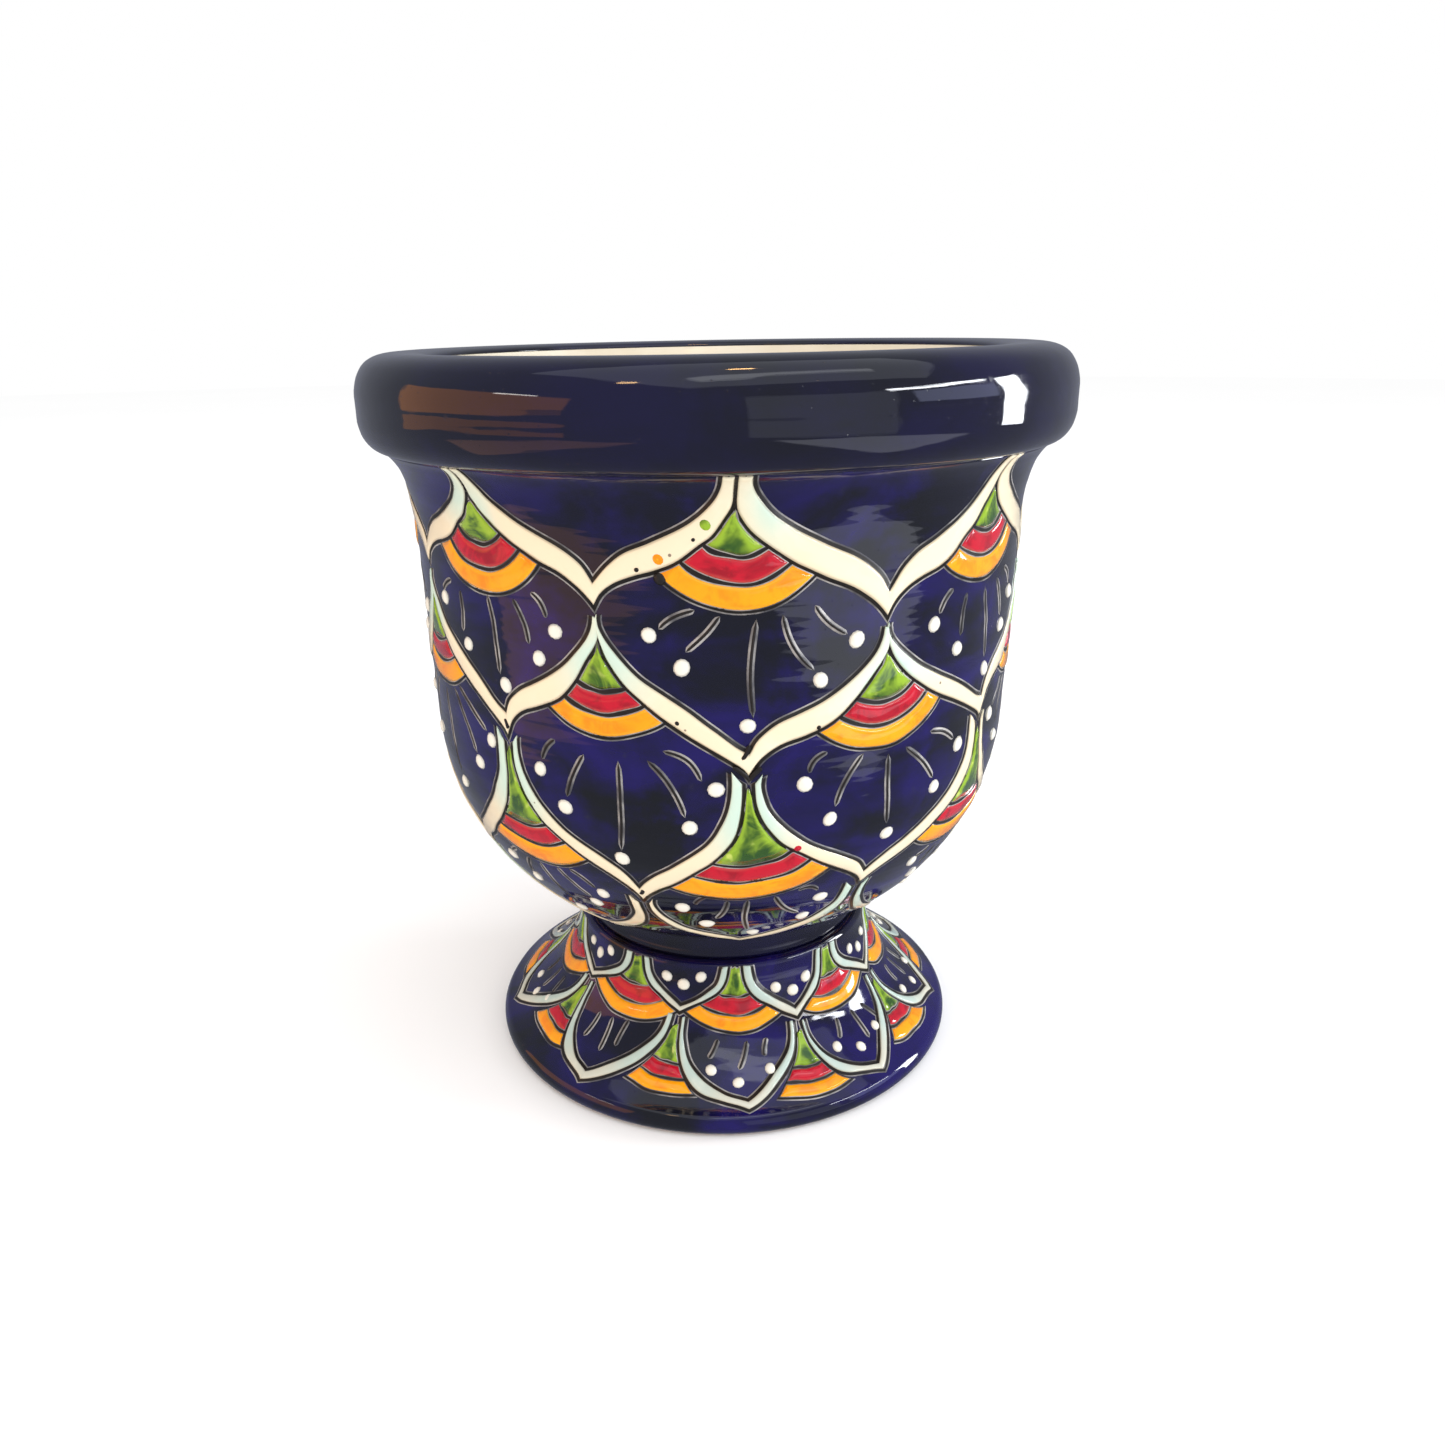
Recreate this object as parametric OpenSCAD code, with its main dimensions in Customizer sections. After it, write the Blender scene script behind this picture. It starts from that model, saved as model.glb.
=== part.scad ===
// Footed talavera planter urn: four clay parts luted together, their glaze
// coats, and the raised glaze decoration of fish scales on the bowl and the foot.
// The origin is the centre of the standing face, +Z up, and -Y is the front.

/* [Clay parts] */
// Overall height
urn_h = 267; // [250:1:285]
// Outside diameter of the rolled collar
collar_d = 250; // [242:1:262]
// Height of the collar above its seam with the bowl
collar_h = 31; // [26:1:34]
// Outside diameter of the bowl below the cove
bowl_d = 218.6; // [214:0.2:222]
// Outside diameter of the bowl where the belly starts to turn in
belly_d = 215; // [212:0.5:217]
// Radius of the belly's curve in side view
belly_r = 90.5; // [86:0.5:94]
// Height of the belly's widest ring
belly_z = 141; // [138:1:144]
// Outside diameter of the neck ring
neck_d = 111; // [108:1:113]
// Height of the neck ring
neck_h = 10; // [9:0.5:12]
// Outside diameter of the foot's rolled edge
foot_d = 186; // [178:1:196]
// Height of the foot below the neck ring
foot_h = 50; // [48:0.5:52]
// Thickness of the fired clay
clay_t = 8; // [7:0.5:9]
// Diameter of the drain hole in the bowl's floor
drain_d = 15; // [10:1:18]

/* [Glaze] */
// Thickness of the glaze coats
coat_t = 0.5; // [0.3:0.1:0.8]
// Height of the raised glaze at its crown
relief_h = 1; // [0.6:0.1:1.4]
// Diameter of a slip dot on the bowl
bead_d = 5.4; // [4:0.2:6]
// Width of a ribbon at its widest
ribbon_w = 5.6; // [3.5:0.1:6]
// Width of a black line between two glaze fields
line_w = 1.2; // [0.8:0.1:1.6]

/* [Pattern] */
// Scales in one row round the bowl
bowl_scales = 8; // [7:1:10]
// Scales in one row round the foot
foot_scales = 9; // [8:1:11]
// Height of one row of scales on the bowl, along its wall
bowl_row = 50; // [46:0.5:50]
// Height of one row of scales on the foot, along its wall
foot_row = 32; // [30:0.5:33]

/* [Hidden] */
$fn = 96;

terracotta = [0.72, 0.42, 0.28];
cobalt = [0.05, 0.06, 0.22];
cream = [0.93, 0.9, 0.8];
leaf_green = [0.3, 0.5, 0.12];
crimson = [0.72, 0.08, 0.15];
orange = [0.95, 0.58, 0.05];

seam_z = urn_h - collar_h;
neck_top_z = foot_h + neck_h;
seam_r = collar_d/2 - 6.5;
cove_h = 24;
mouth_r = bowl_d/2 - clay_t - 2*coat_t;
crest_r = collar_d/2 - 13;
bore_r = neck_d/2 - clay_t - 2;
floor_z = neck_top_z + clay_t + 1 + coat_t;
standing_w = 7.5;
standing_r = foot_d/2 - 6;
edge_h = 7.5;
lip_depth = 2.5;

// ---- Plane curves, as lists of [radius, height] ----

// Points along an arc round a centre, from one angle to another
function arc_line(centre, r, from, to, steps) =
    [for (i = [0:steps]) let(t = from + (to - from)*i/steps)
        centre + r*[cos(t), sin(t)]];

// Points along a curve that leaves p towards q and arrives at e from q
function bend_line(p, q, e, steps) =
    [for (i = [0:steps]) let(t = i/steps)
        (1 - t)*(1 - t)*p + 2*t*(1 - t)*q + t*t*e];

function reverse(line) = [for (i = [len(line) - 1:-1:0]) line[i]];

// In the lines below, 'in' is how deep the line lies under the finished surface.

// The bowl's outside, from the collar's seam down to its flat underside
belly_centre = [belly_d/2 - belly_r, belly_z];
function belly_end(in) = asin((belly_z - neck_top_z)/(belly_r - in));
function bowl_line(in) = concat(
    bend_line([seam_r - in, seam_z], [bowl_d/2 + 1.5 - in, seam_z - 5],
        [bowl_d/2 - in, seam_z - cove_h], 8),
    arc_line(belly_centre, belly_r - in, 0, -belly_end(in), 30));

// The bowl's inside, from the seam down to the edge of its floor
inside_r = belly_r - clay_t - 2*coat_t;
function floor_end(in) = asin((belly_z - floor_z + in)/(inside_r + in));
function bowl_inside(in) = concat(
    [[mouth_r + in, seam_z], [mouth_r + in, seam_z - cove_h]],
    arc_line(belly_centre, inside_r + in, 0, -floor_end(in), 24));

// The collar's outside, from the seam up to its crest
function collar_outside(in) = let(r = collar_d/2 - in, top = urn_h - in) concat(
    bend_line([seam_r - in, seam_z], [r - 0.3, seam_z + 1.5], [r, seam_z + 11], 6),
    bend_line([r, seam_z + 16], [r, top - 0.5], [crest_r, top], 9));
// The lip, from the crest inwards and down to where the dark glaze stops
function lip_line(in) = let(top = urn_h - in)
    bend_line([crest_r - 1, top], [mouth_r + in, top], [mouth_r + in, urn_h - lip_depth], 6);

// The foot's outside, from the neck ring down to its rolled edge
flare = [73, 20.5];
function foot_line(in) = let(mid = flare - in*[0.6, 0.8]) concat(
    [[neck_d/2 - in, foot_h], [neck_d/2 + 2.4 - in, foot_h - 0.3]],
    bend_line([neck_d/2 + 3 - in, foot_h - 1], [neck_d/2 + 4.8 - in, 32 - in/2], mid, 8),
    bend_line(mid, mid + [11, -9.5], [foot_d/2 - 1.5 - in*0.5, edge_h - in*0.8], 6),
    arc_line([foot_d/2 - 4, 4], 4 - in, 40, -60, 5));

// ---- A wall that the pattern is laid on ----

// Distance walked along a line at each of its points
function walk(line) =
    [for (i = 0, s = 0; i < len(line);
          s = s + (i + 1 < len(line) ? norm(line[i + 1] - line[i]) : 0), i = i + 1) s];
function wall_track(line) = let(s = walk(line))
    [[for (i = [0:len(line) - 1]) [s[i], line[i][0]]],
     [for (i = [0:len(line) - 1]) [s[i], line[i][1]]]];
bowl_wall = wall_track(bowl_line(0));
foot_wall = wall_track(foot_line(0));

function wall_r(wall, s) = lookup(s, wall[0]);
function wall_z(wall, s) = lookup(s, wall[1]);
// Tilt of the wall's outward normal above the horizontal
function wall_tilt(wall, s) = let(d = 1.5)
    atan2(wall_r(wall, s + d) - wall_r(wall, s - d),
          wall_z(wall, s - d) - wall_z(wall, s + d));
// Point at x along the row (arc length from the column at angle a), s down the wall, h proud
function on_wall(wall, a, x, s, h) =
    let(r = wall_r(wall, s), z = wall_z(wall, s), t = wall_tilt(wall, s),
        b = a + x/r*180/PI, rh = r + h*cos(t))
    [rh*sin(b), -rh*cos(b), z + h*sin(t)];

// ---- Raised glaze ----

// A closed strip through sections of three points each
module strip(sections) {
    n = len(sections);
    points = [for (s = sections) each s];
    sides = [for (i = [0:n - 2], k = [0:2]) let(m = (k + 1) % 3, j = i*3)
        each [[j + k, j + m, j + 3 + m], [j + k, j + 3 + m, j + 3 + k]]];
    ends = [[2, 1, 0], [n*3 - 3, n*3 - 2, n*3 - 1]];
    polyhedron(points, concat(sides, ends), convexity = 4);
}

// How far across a scale's edge has moved at u of its way down.
// 'hang' is the share of the way that it falls straight before it sweeps in.
function sweep(u, hang, power) = let(v = max(0, (u - hang)/(1 - hang))) pow(v, power);

// One V-shaped ribbon: from s0 at both upper corners down to the tip at s1
module ribbon(wall, a, s0, s1, pitch, hang, power, w) {
    steps = 8;
    function edge_x(u) = pitch/2*(1 - sweep(u, hang, power));
    function width(u) = w*(0.35 + 0.65*sin(9 + 153*u));
    function inward(u, k) = let(u0 = max(0, u - 0.02), u1 = min(1, u + 0.02),
        dx = (edge_x(u1) - edge_x(u0))*k, ds = (s1 - s0)*(u1 - u0))
        u > 0.99 ? [0, -1.3] : [-ds, dx]/norm([ds, dx]);
    function section(side, u) =
        let(s = s0 + (s1 - s0)*u, k = wall_r(wall, s)*PI/180, v = inward(u, k)*width(u))
        [for (q = [[0, 0], [0.5, relief_h], [1, 0]])
            on_wall(wall, a, side*(edge_x(u)*k + v[0]*q[0]), s + v[1]*q[0], q[1])];
    strip(concat([for (i = [0:steps]) section(-1, i/steps)],
        [for (i = [steps - 1:-1:0]) section(1, i/steps)]));
}

// One fan's green sector: a low pyramid over a rounded triangle below the apex
module green_sector(wall, a, s, r, spread) {
    steps = 4;
    rim = concat([[0, 0]], [for (i = [-steps:steps]) let(t = spread*i/steps) r*[sin(t), cos(t)]]);
    n = len(rim);
    points = concat([for (p = rim) on_wall(wall, a, p[0], s + p[1], 0)],
        [on_wall(wall, a, 0, s + r*0.66, relief_h), on_wall(wall, a, 0, s + r*0.66, 0)]);
    polyhedron(points, [for (i = [0:n - 1]) let(j = (i + 1) % n) each [[j, i, n], [i, j, n + 1]]],
        convexity = 2);
}

// One curved band of a fan, between two radii about the apex
module fan_band(wall, a, s, r0, r1, spread) {
    steps = 4;
    strip([for (i = [-steps:steps]) let(t = spread*i/steps, d = [sin(t), cos(t)])
        [for (q = [[r1, 0], [(r0 + r1)/2, relief_h], [r0, 0]])
            on_wall(wall, a, q[0]*d[0], s + q[0]*d[1], q[1])]]);
}

// One slip dot, a low dome standing on the wall
module bead(wall, a, x, s, d) {
    r = wall_r(wall, s);
    b = a + x/r*180/PI;
    crown = d*0.3;
    translate(on_wall(wall, a, x, s, 0))
        rotate([0, 90 - wall_tilt(wall, s), b - 90])
            rotate_extrude($fn = 24)
                polygon([[0, 0], [d/2, 0], [d*0.44, crown*0.45], [d*0.25, crown*0.85], [0, crown]]);
}

// ---- Where the rows lie ----

bowl_pitch = 360/bowl_scales;
foot_pitch = 360/foot_scales;
bowl_turn = 4;
foot_turn = 4.5;
function bowl_column(i, shift) = bowl_turn + (i + shift)*bowl_pitch;
function foot_column(i, shift) = foot_turn + (i + shift)*foot_pitch;

top_tip_s = 39;
foot_top_tip_s = 20;
// Each row of bowl fans: column shift, apex distance, green radius, spread in degrees
bowl_fans = [[0, 13, 13, 46], [0.5, top_tip_s + 18, 16, 32],
    [0, top_tip_s + bowl_row + 10, 26, 22]];
foot_fans = [[0, 4, 9, 42], [0.5, foot_top_tip_s + 7, 12, 32]];
band_w = 7;
foot_band_w = 4.4;
foot_bead_d = bead_d*0.72;
// The five dots of a bowl scale, polar about its apex: distance, degrees
bowl_dot_places = [[48, -33], [54, -17], [68, 3], [57, 24], [53, 40]];
foot_dot_places = [[34, -11], [37, 0], [35, 11]];
foot_top_dot_places = [[-7, 7], [0.5, 10], [7, 7]];

module bowl_band(k, extra) {
    for (f = bowl_fans, i = [0:bowl_scales - 1]) {
        r0 = f[2] + line_w + k*(band_w + 2*line_w);
        fan_band(bowl_wall, bowl_column(i, f[0]), f[1], r0, r0 + band_w, f[3] + extra);
    }
}

module foot_band(k, extra) {
    for (f = foot_fans, i = [0:foot_scales - 1]) {
        r0 = f[2] + line_w + k*(foot_band_w + line_w);
        fan_band(foot_wall, foot_column(i, f[0]), f[1], r0, r0 + foot_band_w, f[3] + extra);
    }
}

// ---- Clay parts ----

// The thrown bowl, with a flat underside and a drain hole in its floor
module bowl() color(terracotta) rotate_extrude() polygon(concat(
    bowl_line(coat_t),
    [[drain_d/2, neck_top_z], [drain_d/2, floor_z - coat_t]],
    reverse(bowl_inside(coat_t))));

// The rolled collar, luted to the bowl's flared top
module rim_collar() color(terracotta) rotate_extrude() polygon(concat(
    collar_outside(coat_t), lip_line(coat_t), [[mouth_r + coat_t, seam_z]]));

// The ring that joins the bowl's underside to the foot
module neck_ring() color(terracotta)
    translate([0, 0, foot_h]) difference() {
        cylinder(r = neck_d/2 - coat_t, h = neck_h);
        translate([0, 0, -1]) cylinder(r = bore_r, h = neck_h + 2);
    }

// The flared foot, hollow and open below, standing on a bare flat ring
module pedestal_foot() color(terracotta) rotate_extrude() polygon(concat(
    foot_line(coat_t),
    [[standing_r, 0], [standing_r - standing_w, 0]],
    bend_line([standing_r - standing_w - 2, 1.5], [68, 15], [bore_r + 3, 32], 6),
    [[bore_r, 42], [bore_r, foot_h]]));

// ---- Glaze coats ----

// Cream glaze on the inside, from under the lip to the drain hole
module bowl_lining() color(cream) rotate_extrude() polygon(concat(
    [[mouth_r + coat_t, urn_h - lip_depth]], bowl_inside(coat_t),
    [[drain_d/2 + 1.5, floor_z - coat_t], [drain_d/2 + 1.5, floor_z]],
    reverse(bowl_inside(0)), [[mouth_r, urn_h - lip_depth]]));

module bowl_glaze() color(cobalt)
    rotate_extrude() polygon(concat(bowl_line(0), reverse(bowl_line(coat_t))));

module rim_glaze() color(cobalt)
    rotate_extrude() polygon(concat(collar_outside(0), lip_line(0),
        reverse(lip_line(coat_t)), reverse(collar_outside(coat_t))));

module neck_glaze() color(cobalt)
    translate([0, 0, foot_h]) difference() {
        cylinder(r = neck_d/2, h = neck_h);
        translate([0, 0, -1]) cylinder(r = neck_d/2 - coat_t, h = neck_h + 2);
    }

module foot_glaze() color(cobalt)
    rotate_extrude() polygon(concat(foot_line(0), reverse(foot_line(coat_t))));

// ---- Raised glaze on the bowl ----

// Each row of ribbons: column shift, s at its upper corners, s at its tip, the share of a
// side that falls straight, the power of its sweep inwards, and the ribbon's width
ribbon_gap = 1.2;
bowl_ribbon_rows = [
    [0.5, 2, top_tip_s, 0.24, 1.1, ribbon_w],
    [0, top_tip_s + 4, top_tip_s + bowl_row, 0.05, 1.6, ribbon_w],
    [0.5, top_tip_s + bowl_row + 4, top_tip_s + 2*bowl_row, 0.05, 1.7, ribbon_w],
    [0, top_tip_s + 2*bowl_row + 4, top_tip_s + 3*bowl_row, 0.05, 1.7, ribbon_w*0.8]];

module bowl_ribbon_row(k) {
    f = bowl_ribbon_rows[k];
    for (i = [0:bowl_scales - 1])
        ribbon(bowl_wall, bowl_column(i, f[0]), f[1], f[2], bowl_pitch - ribbon_gap, f[3], f[4], f[5]);
}

module bowl_top_ribbons() color(cream) bowl_ribbon_row(0);
module bowl_upper_ribbons() color(cream) bowl_ribbon_row(1);
module bowl_middle_ribbons() color(cream) bowl_ribbon_row(2);
module bowl_lower_ribbons() color(cream) bowl_ribbon_row(3);

module bowl_green_fans() color(leaf_green)
    for (f = bowl_fans, i = [0:bowl_scales - 1])
        green_sector(bowl_wall, bowl_column(i, f[0]), f[1], f[2], f[3]);

module bowl_crimson_bands() color(crimson) bowl_band(0, 2);

module bowl_orange_bands() color(orange) bowl_band(1, 3);

module dot_row(f)
    for (i = [0:bowl_scales - 1], p = bowl_dot_places)
        bead(bowl_wall, bowl_column(i, f[0]), p[0]*sin(p[1]), f[1] + p[0]*cos(p[1]), bead_d);

module bowl_upper_dots() color(cream) dot_row(bowl_fans[0]);
module bowl_middle_dots() color(cream) dot_row(bowl_fans[1]);
module bowl_lower_dots() color(cream) dot_row(bowl_fans[2]);

// ---- Raised glaze on the foot ----

foot_ribbon_rows = [
    [0.5, 4, foot_top_tip_s, 0, 1.3, ribbon_w*0.62],
    [0, foot_top_tip_s + 3, foot_top_tip_s + foot_row, 0.05, 1.7, ribbon_w*0.7]];

module foot_ribbon_row(k) {
    f = foot_ribbon_rows[k];
    for (i = [0:foot_scales - 1])
        ribbon(foot_wall, foot_column(i, f[0]), f[1], f[2], foot_pitch - ribbon_gap, f[3], f[4], f[5]);
}

module foot_top_ribbons() color(cream) foot_ribbon_row(0);
module foot_lower_ribbons() color(cream) foot_ribbon_row(1);

module foot_green_fans() color(leaf_green)
    for (f = foot_fans, i = [0:foot_scales - 1])
        green_sector(foot_wall, foot_column(i, f[0]), f[1], f[2], f[3]);

module foot_crimson_bands() color(crimson) foot_band(0, 2);

module foot_orange_bands() color(orange) foot_band(1, 3);

module foot_top_dots() color(cream)
    for (i = [0:foot_scales - 1], p = foot_top_dot_places)
        bead(foot_wall, foot_column(i, 0.5), p[0], p[1], foot_bead_d);

module foot_lower_dots() color(cream)
    for (i = [0:foot_scales - 1], p = foot_dot_places)
        bead(foot_wall, foot_column(i, 0), p[0]*sin(p[1]), foot_fans[0][1] + p[0]*cos(p[1]), foot_bead_d);

bowl();
rim_collar();
neck_ring();
pedestal_foot();
bowl_lining();
bowl_glaze();
rim_glaze();
neck_glaze();
foot_glaze();
bowl_top_ribbons();
bowl_upper_ribbons();
bowl_middle_ribbons();
bowl_lower_ribbons();
bowl_green_fans();
bowl_crimson_bands();
bowl_orange_bands();
bowl_upper_dots();
bowl_middle_dots();
bowl_lower_dots();
foot_top_ribbons();
foot_lower_ribbons();
foot_green_fans();
foot_crimson_bands();
foot_orange_bands();
foot_top_dots();
foot_lower_dots();
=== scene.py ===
import math

import bmesh
import bpy
from mathutils import Euler, Matrix, Vector, noise


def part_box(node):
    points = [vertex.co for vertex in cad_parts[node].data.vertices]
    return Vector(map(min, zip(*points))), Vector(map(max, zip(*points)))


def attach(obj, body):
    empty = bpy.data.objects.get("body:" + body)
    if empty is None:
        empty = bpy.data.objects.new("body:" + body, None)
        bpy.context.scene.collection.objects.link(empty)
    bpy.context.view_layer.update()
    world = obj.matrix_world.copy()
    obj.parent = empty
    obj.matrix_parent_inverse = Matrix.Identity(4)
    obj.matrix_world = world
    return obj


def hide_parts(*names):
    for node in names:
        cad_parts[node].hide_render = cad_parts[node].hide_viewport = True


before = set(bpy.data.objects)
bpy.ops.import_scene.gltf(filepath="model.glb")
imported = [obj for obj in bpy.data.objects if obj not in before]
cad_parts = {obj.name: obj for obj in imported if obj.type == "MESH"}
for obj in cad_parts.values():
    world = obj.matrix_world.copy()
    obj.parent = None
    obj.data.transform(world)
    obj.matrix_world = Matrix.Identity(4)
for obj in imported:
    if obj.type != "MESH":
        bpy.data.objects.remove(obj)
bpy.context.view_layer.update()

# The same shake of the hand in every run
noise.seed_set(11)

# ---------------------------------------------------------------------------
# The form. Lengths are in millimetres until a mesh is finished.
# ---------------------------------------------------------------------------

MM = 0.001


def span(node):
    """A node's largest radius, lowest and highest point, in millimetres."""
    low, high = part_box(node)
    return high.x / MM, low.z / MM, high.z / MM


COLLAR_R, SEAM_Z, TOP_Z = span("rim_glaze")
NECK_R, FOOT_TOP, NECK_TOP = span("neck_glaze")
FOOT_R = span("foot_glaze")[0]
MOUTH_R = span("bowl_lining")[0] - 0.5
FLOOR_Z = span("bowl_lining")[1] + 0.5
DRAIN_R = 7.5
CLAY = 8.0
COAT = 0.5
BOWL_R = MOUTH_R + CLAY + 2 * COAT
SEAM_R = COLLAR_R - 6.5
COVE_H = 24.0
CREST_R = COLLAR_R - 13.0
LIP_DEPTH = TOP_Z - span("bowl_lining")[2]
BELLY_R = 90.5
BELLY_X = 17.0
BELLY_Z = 141.0
FLARE = (73.0, 20.5)
# Clearance between a coat and the clay under it
GAP = 0.05
# The rim's rise and fall begins at this height
RIM_START = 150
RIM_SAG = 0.8
# Half the stretch of wall that its slope is read over
REACH = 1.5
TURN_STEPS = 224
CLAY_STEPS = 160


def arc(cx, cz, r, start, stop, steps):
    """Points of an arc about (cx, cz), in degrees."""
    turn = [math.radians(start + (stop - start) * i / steps) for i in range(steps + 1)]
    return [(cx + r * math.cos(t), cz + r * math.sin(t)) for t in turn]


def bend(p, q, e, steps):
    """Points of a curve that leaves p towards q and arrives at e from q."""
    out = []
    for i in range(steps + 1):
        t = i / steps
        near, mid, far = (1 - t) ** 2, 2 * t * (1 - t), t * t
        out.append(tuple(near * a + mid * b + far * c for a, b, c in zip(p, q, e)))
    return out


def belly(inset, lowest, steps):
    """The bowl's rounded lower half, down to a height."""
    r = BELLY_R - inset
    return arc(BELLY_X, BELLY_Z, r, 0, -math.degrees(math.asin((BELLY_Z - lowest) / r)), steps)


def bowl_line(inset, fine=1.0):
    """The bowl's outside, from the collar's seam to its flat underside."""
    cove = bend(
        (SEAM_R - inset, SEAM_Z),
        (BOWL_R + 1.5 - inset, SEAM_Z - 5),
        (BOWL_R - inset, SEAM_Z - COVE_H),
        int(16 * fine),
    )
    steps = int(36 * fine)
    top, low = cove[-1], (BELLY_X + BELLY_R - inset, BELLY_Z)
    fall = (low[0] - top[0], low[1] - top[1])
    wall = [(top[0] + fall[0] * i / steps, top[1] + fall[1] * i / steps) for i in range(1, steps)]
    return cove + wall + belly(inset, NECK_TOP, int(56 * fine))


def collar_line(inset, fine=1.0):
    """The collar's outside, from the seam over the crest to the end of the dark glaze in the mouth."""
    r, top = COLLAR_R - inset, TOP_Z - inset
    low = bend((SEAM_R - inset, SEAM_Z), (r - 0.3, SEAM_Z + 1.5), (r, SEAM_Z + 11), int(12 * fine))
    face = [(r, SEAM_Z + 13), (r, SEAM_Z + 15)]
    high = bend((r, SEAM_Z + 16), (r, top - 0.5), (CREST_R, top), int(16 * fine))
    mouth = MOUTH_R + inset
    lip = bend((CREST_R - 1, top), (mouth, top), (mouth, TOP_Z - LIP_DEPTH), int(14 * fine))
    return low + face + high + lip


def foot_line(inset, fine=1.0):
    """The foot's outside, from the neck ring to its rolled edge."""
    mid = (FLARE[0] - 0.6 * inset, FLARE[1] - 0.8 * inset)
    shoulder = [(NECK_R - inset, FOOT_TOP), (NECK_R + 1.6 - inset, FOOT_TOP - 0.05)]
    steep = (NECK_R + 4.8 - inset, 32 - inset / 2)
    upper = bend((NECK_R + 3 - inset, FOOT_TOP - 1), steep, mid, int(22 * fine))
    lower = bend(
        mid,
        (mid[0] + 11, mid[1] - 9.5),
        (FOOT_R - 1.5 - inset * 0.5, 7.5 - inset * 0.8),
        int(18 * fine),
    )
    edge = arc(FOOT_R - 4, 4, 4 - inset, 40, -60, int(12 * fine))
    return shoulder + upper + lower[1:] + edge


def inside_line(inset, steps):
    """The bowl's inside, from the seam to the edge of its floor."""
    r = BELLY_R - CLAY - 2 * COAT + inset
    bottom = -math.degrees(math.asin((BELLY_Z - FLOOR_Z + inset) / r))
    start = [(MOUTH_R + inset, SEAM_Z - k * COVE_H / 4) for k in range(5)]
    return start + arc(BELLY_X, BELLY_Z, r, 0, bottom, steps)


def settle(p):
    """The thrown pot's unevenness: shallow swells in the wall and a rim that isn't quite level."""
    x, y, z = p
    r = math.hypot(x, y)
    turn = math.atan2(x, -y)
    if r < 1e-6:
        return Vector((x, y, z))
    swell = noise.noise(Vector((x, y, z)) * 0.011) * 0.5 + 0.5
    ring = math.sin(z * 0.61) * 0.5 + math.sin(z * 1.37 + 1.3) * 0.3
    lift = min(1.0, max(0.0, z / 30))
    pull = lift * (0.55 * swell + 0.10 * (ring + 1))
    rise = min(1.0, max(0.0, (z - RIM_START) / 117))
    rise = rise * rise * (3 - 2 * rise)
    sag = RIM_SAG * (1 - math.cos(turn - 2.2))
    k = (r - pull) / r
    return Vector((x * k, y * k, z - rise * sag))


class Wall:
    """A turned surface that the pattern is laid on, by angle round it and distance down it."""

    def __init__(self, line):
        self.r, self.z, self.s = [line[0][0]], [line[0][1]], [0.0]
        for a, b in zip(line, line[1:]):
            step = math.dist(a, b)
            if step > 1e-4:
                self.r.append(b[0])
                self.z.append(b[1])
                self.s.append(self.s[-1] + step)
        self.length = self.s[-1]

    def at(self, s):
        """Radius and height at a distance down the wall."""
        s = min(max(s, 0.0), self.length - 1e-6)
        lo, hi = 0, len(self.s) - 1
        while hi - lo > 1:
            mid = (lo + hi) // 2
            if self.s[mid] <= s:
                lo = mid
            else:
                hi = mid
        t = (s - self.s[lo]) / (self.s[hi] - self.s[lo])
        r = self.r[lo] + (self.r[hi] - self.r[lo]) * t
        z = self.z[lo] + (self.z[hi] - self.z[lo]) * t
        return r, z

    def per_degree(self, s):
        """Millimetres along the row for one degree of turn."""
        return math.radians(self.at(s)[0])

    def point(self, angle, s, h):
        """The place at an angle in degrees, s down the wall and h off it."""
        r, z = self.at(s)
        r0, z0 = self.at(s - REACH)
        r1, z1 = self.at(s + REACH)
        size = math.hypot(r1 - r0, z1 - z0) or 1.0
        r += h * (z0 - z1) / size
        z += h * (r1 - r0) / size
        t = math.radians(angle)
        return settle((r * math.sin(t), -r * math.cos(t), z)) * MM


BOWL = Wall(bowl_line(0))
FOOT = Wall(foot_line(0)[2:])


# ---------------------------------------------------------------------------
# Materials: shader maths as Python expressions
# ---------------------------------------------------------------------------


class Value:
    """A socket that adds Math nodes when it is used in an expression."""

    def __init__(self, maker, socket):
        self.maker = maker
        self.socket = socket

    def _math(self, operation, a, b=0.0):
        return self.maker.node("ShaderNodeMath", {"operation": operation}, [a, b])

    def __add__(self, other):
        return self._math("ADD", self, other)

    __radd__ = __add__

    def __sub__(self, other):
        return self._math("SUBTRACT", self, other)

    def __rsub__(self, other):
        return self._math("SUBTRACT", other, self)

    def __mul__(self, other):
        return self._math("MULTIPLY", self, other)

    __rmul__ = __mul__

    def wave(self):
        return self._math("SINE", self)

    def size(self):
        return self._math("ABSOLUTE", self)

    def steps(self, low, high):
        """0 below low, 1 above high and smooth between them."""
        settings = {"interpolation_type": "SMOOTHSTEP"}
        return self.maker.node("ShaderNodeMapRange", settings, [self, low, high, 0.0, 1.0])


# The colour sockets of a Mix node
MIX_FACTOR, MIX_A, MIX_B, MIX_OUT = 0, 6, 7, 2


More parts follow.
